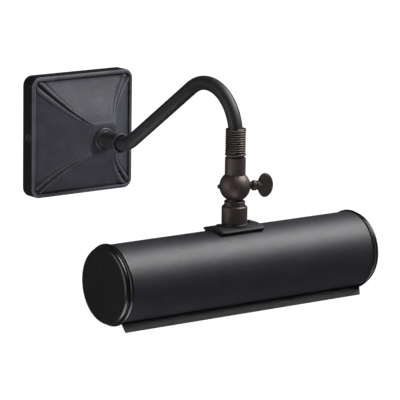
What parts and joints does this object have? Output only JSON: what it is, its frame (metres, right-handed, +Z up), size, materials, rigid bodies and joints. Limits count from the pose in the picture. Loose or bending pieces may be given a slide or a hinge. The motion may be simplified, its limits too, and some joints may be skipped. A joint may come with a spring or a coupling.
{
  "type": "picture light",
  "caption": "Wall-mounted picture light: square plate with a hollow-flanked pyramid, bent arm, coil, thumb-screw ball knuckle and a tubular shade open below.",
  "frame": {"origin": "on the wall, behind the centre of the square wall plate and in the middle of the bracket's two slots", "axes": "+Y into the wall, the light stands out along -Y; +X to the right as seen from the room; +Z up; the shade lies along X"},
  "size_m": [0.25, 0.2548, 0.1809],
  "materials": {
    "cast_black": "satin black on a faintly pebbled casting",
    "satin_black": "satin black",
    "shade_black": "fine satin black",
    "cap_black": "semi-gloss black",
    "dark_bronze": "satin dark bronze",
    "zinc_steel": "zinc plated",
    "brass": "plain turned",
    "lamp_cap_metal": "rolled thread",
    "nylon": "moulded",
    "cable_sheath": "matt",
    "core_insulation": "smooth",
    "fibre": "pressed fibre",
    "reflector_metal": "polished",
    "holder_white": "glazed",
    "lamp_glass": "clear"
  },
  "bodies": {
    "base": {"wall_bracket": "zinc_steel", "earth_screw": "brass", "earth_washer": "brass", "terminal_block": "nylon", "terminal_inserts": "brass", "terminal_screws": "brass", "terminal_fixing_screws": "zinc_steel", "wall_plate": "cast_black", "plate_side_screws": "satin_black", "arm_collar": "satin_black", "arm_washer": "zinc_steel", "arm_lock_nut": "brass", "arm_tube": "satin_black", "arm_lead": "cable_sheath", "arm_lead_cores": "core_insulation", "coil_sleeve": "dark_bronze", "arm_ferrule": "dark_bronze", "arm_clip": "zinc_steel"},
    "upper_knuckle": {"knuckle_top": "dark_bronze", "friction_ring": "fibre"},
    "screw": {"thumb_screw": "dark_bronze"},
    "lower_knuckle": {"knuckle_bottom": "dark_bronze", "stem_clip": "zinc_steel"},
    "shade_head": {"swivel_socket": "dark_bronze", "shade_nipple": "brass", "saddle": "satin_black", "saddle_screws": "satin_black", "saddle_nuts": "zinc_steel", "shade": "shade_black", "left_end_cap": "cap_black", "right_end_cap": "cap_black", "reflector": "reflector_metal", "lamp_bracket": "zinc_steel", "nipple_washer": "zinc_steel", "nipple_nut": "brass", "left_lamp_holder": "holder_white", "right_lamp_holder": "holder_white", "holder_nipples": "brass", "holder_nuts": "brass", "left_lamp_cap": "lamp_cap_metal", "right_lamp_cap": "lamp_cap_metal", "left_lamp_bulb": "lamp_glass", "right_lamp_bulb": "lamp_glass", "shade_lead": "cable_sheath", "shade_lead_cores": "core_insulation"}
  },
  "joints": [
    {"name": "arm_swivel", "type": "hinge", "parent": "base", "child": "upper_knuckle", "pos_m": [0, -0.2229, 0.0083], "axis": [0, 0, 1], "range_deg": [-30, 30]},
    {"name": "shade_tilt", "type": "hinge", "parent": "upper_knuckle", "child": "lower_knuckle", "pos_m": [0, -0.2229, -0.0104], "axis": [0.9272, -0.3746, 0], "range_deg": [-45, 45]},
    {"name": "shade_swivel", "type": "hinge", "parent": "lower_knuckle", "child": "shade_head", "pos_m": [0, -0.2229, -0.0275], "axis": [0, 0, 1], "range_deg": [-30, 30]},
    {"name": "thumb_screw_turn", "type": "hinge", "parent": "upper_knuckle", "child": "screw", "pos_m": [0, -0.2229, -0.0104], "axis": [0.9272, -0.3746, 0], "range_deg": [-180, 180]}
  ]
}
